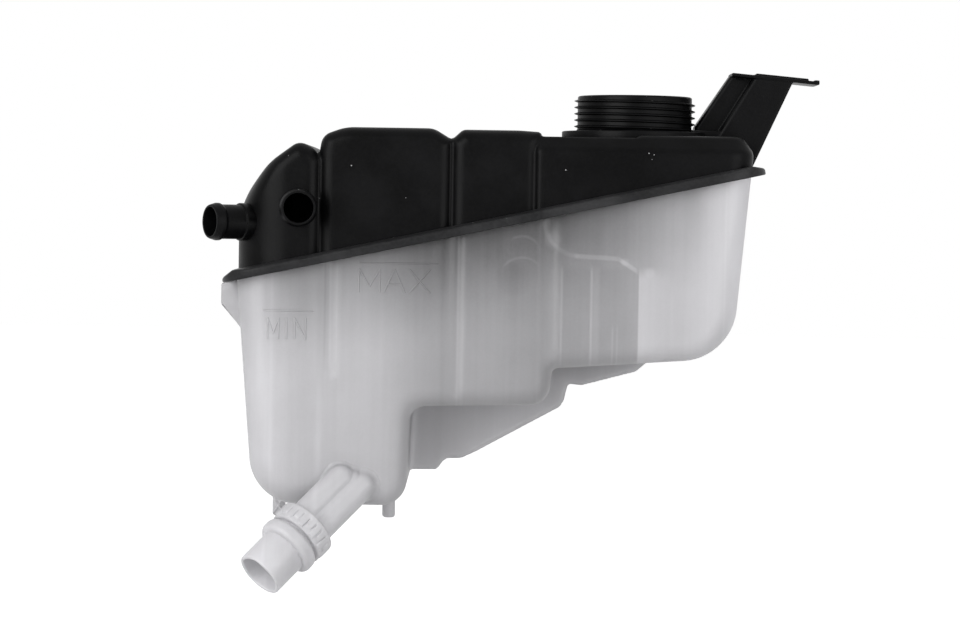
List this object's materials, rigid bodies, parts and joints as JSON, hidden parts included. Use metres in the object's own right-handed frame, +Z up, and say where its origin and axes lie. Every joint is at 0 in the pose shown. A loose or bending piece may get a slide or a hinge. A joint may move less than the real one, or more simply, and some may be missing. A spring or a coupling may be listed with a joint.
{
  "type": "coolant expansion tank",
  "caption": "Stepped translucent coolant tank with a black lobed top, a threaded filler neck, hose barbs, an angled outlet and a fixing bracket.",
  "frame": {"origin": "root of the right-hand locating peg, level with the underside of the tank's leg", "axes": "+X along the tank, from the hook to the bracket; -Y is the front with the level marks; +Z is up as installed, along the filler neck"},
  "size_m": [0.2867, 0.1525, 0.2403],
  "materials": {
    "natural_plastic": "natural translucent moulded plastic, satin, with light showing through the thin wall",
    "black_plastic": "black moulded plastic with a fine satin grain"
  },
  "bodies": {
    "root": {"lower_shell": "natural_plastic", "upper_shell": "black_plastic"}
  },
  "joints": []
}
